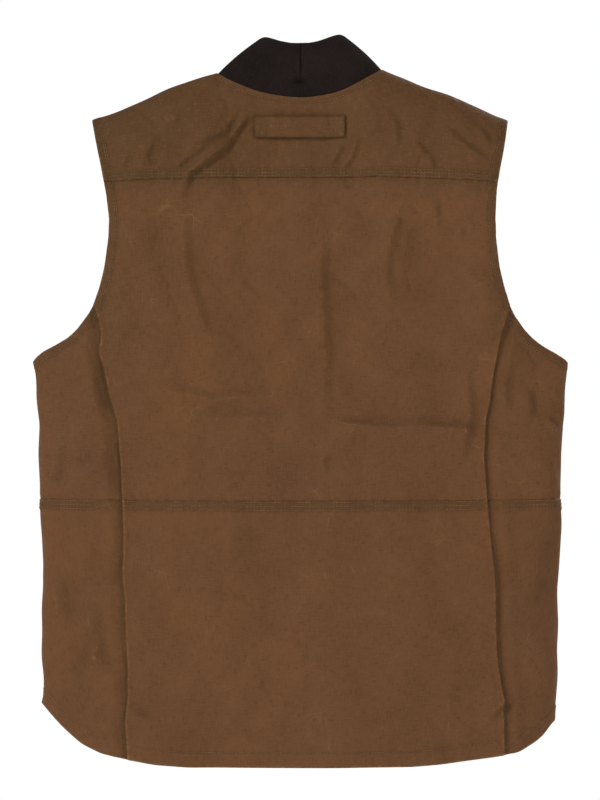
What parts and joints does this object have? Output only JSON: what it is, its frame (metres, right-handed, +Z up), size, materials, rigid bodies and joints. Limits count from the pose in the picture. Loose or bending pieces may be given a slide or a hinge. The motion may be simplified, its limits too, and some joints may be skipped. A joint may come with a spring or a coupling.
{
  "type": "fishing vest",
  "caption": "Sleeveless waxed-canvas fishing vest with rib-knit stand collar, full-length zip, flapped chest and bellows pockets, shaped hem and a hanging strap at the nape.",
  "frame": {"origin": "midway between the neck ends of the two shoulder seams, where a hanger or the wearer's shoulders hold the vest", "axes": "+Z up, +Y out of the front, +X towards the wearer's right"},
  "size_m": [0.56, 0.1316, 0.7666],
  "materials": {
    "canvas": "waxed cotton canvas, brown, slightly mottled",
    "rib_knit": "dark brown rib knit",
    "lining": "plain-woven tan lining",
    "zip_tape": "woven zip tape",
    "brass": "antiqued brass"
  },
  "bodies": {
    "vest_back": {"back_yoke": "canvas", "back_panel": "canvas", "back_skirt": "canvas", "collar_back": "rib_knit", "nape_strap": "canvas", "hem_facing_back": "canvas", "lining_back": "lining", "side_panel_upper_left": "canvas", "side_panel_lower_left": "canvas", "front_side_left": "canvas", "armhole_facing_left": "canvas", "lining_side_left": "lining", "side_panel_upper_right": "canvas", "side_panel_lower_right": "canvas", "front_side_right": "canvas", "armhole_facing_right": "canvas", "lining_side_right": "lining"},
    "front_left": {"front_panel_left": "canvas", "collar_front_left": "rib_knit", "front_facing_left": "canvas", "hem_facing_left": "canvas", "lining_front_left": "lining", "zip_tape_left": "zip_tape", "zip_teeth_left": "brass", "chest_pocket_left": "canvas", "lower_pocket_left": "canvas", "chest_stud_left": "brass", "lower_stud_left": "brass", "inner_pocket": "lining", "zip_pin": "brass"},
    "front_right": {"front_panel_right": "canvas", "collar_front_right": "rib_knit", "front_facing_right": "canvas", "hem_facing_right": "canvas", "lining_front_right": "lining", "zip_tape_right": "zip_tape", "zip_teeth_right": "brass", "chest_pocket_right": "canvas", "lower_pocket_right": "canvas", "chest_stud_right": "brass", "lower_stud_right": "brass", "zip_box": "brass"},
    "zip_slider": {"zip_slider": "brass"},
    "zip_pull": {"zip_pull": "brass"},
    "chest_flap_left": {"chest_flap_left": "canvas", "chest_cap_left": "brass"},
    "chest_flap_right": {"chest_flap_right": "canvas", "chest_cap_right": "brass"},
    "lower_flap_left": {"lower_flap_left": "canvas", "lower_cap_left": "brass"},
    "lower_flap_right": {"lower_flap_right": "canvas", "lower_cap_right": "brass"}
  },
  "joints": [
    {"name": "front_left_open", "type": "hinge", "parent": "vest_back", "child": "front_left", "pos_m": [-0.222, 0.0545, -0.7305], "axis": [0.1785, -0.041, 0.9831], "range_deg": [0, 105], "deforming": ["zip_teeth_left", "zip_tape_left"]},
    {"name": "front_right_open", "type": "hinge", "parent": "vest_back", "child": "front_right", "pos_m": [0.222, 0.0545, -0.7305], "axis": [0.1785, 0.041, -0.9831], "range_deg": [0, 105], "deforming": ["zip_teeth_right", "zip_tape_right"]},
    {"name": "zip_slide", "type": "slide", "parent": "front_right", "child": "zip_slider", "axis": [0, 0.0519, -0.9987], "range_m": [0, 0.655]},
    {"name": "zip_pull_flip", "type": "hinge", "parent": "zip_slider", "child": "zip_pull", "pos_m": [0, 0.02402, -0.04231], "axis": [1, 0, 0], "range_deg": [0, 165]},
    {"name": "chest_flap_left_lift", "type": "hinge", "parent": "front_left", "child": "chest_flap_left", "pos_m": [-0.066, 0.03155, -0.1815], "axis": [1, 0, 0], "range_deg": [0, 110]},
    {"name": "chest_flap_right_lift", "type": "hinge", "parent": "front_right", "child": "chest_flap_right", "pos_m": [0.066, 0.03155, -0.1815], "axis": [1, 0, 0], "range_deg": [0, 110]},
    {"name": "lower_flap_left_lift", "type": "hinge", "parent": "front_left", "child": "lower_flap_left", "pos_m": [-0.093, 0.04736, -0.4855], "axis": [1, 0, 0], "range_deg": [0, 100]},
    {"name": "lower_flap_right_lift", "type": "hinge", "parent": "front_right", "child": "lower_flap_right", "pos_m": [0.093, 0.04736, -0.4855], "axis": [1, 0, 0], "range_deg": [0, 100]}
  ]
}
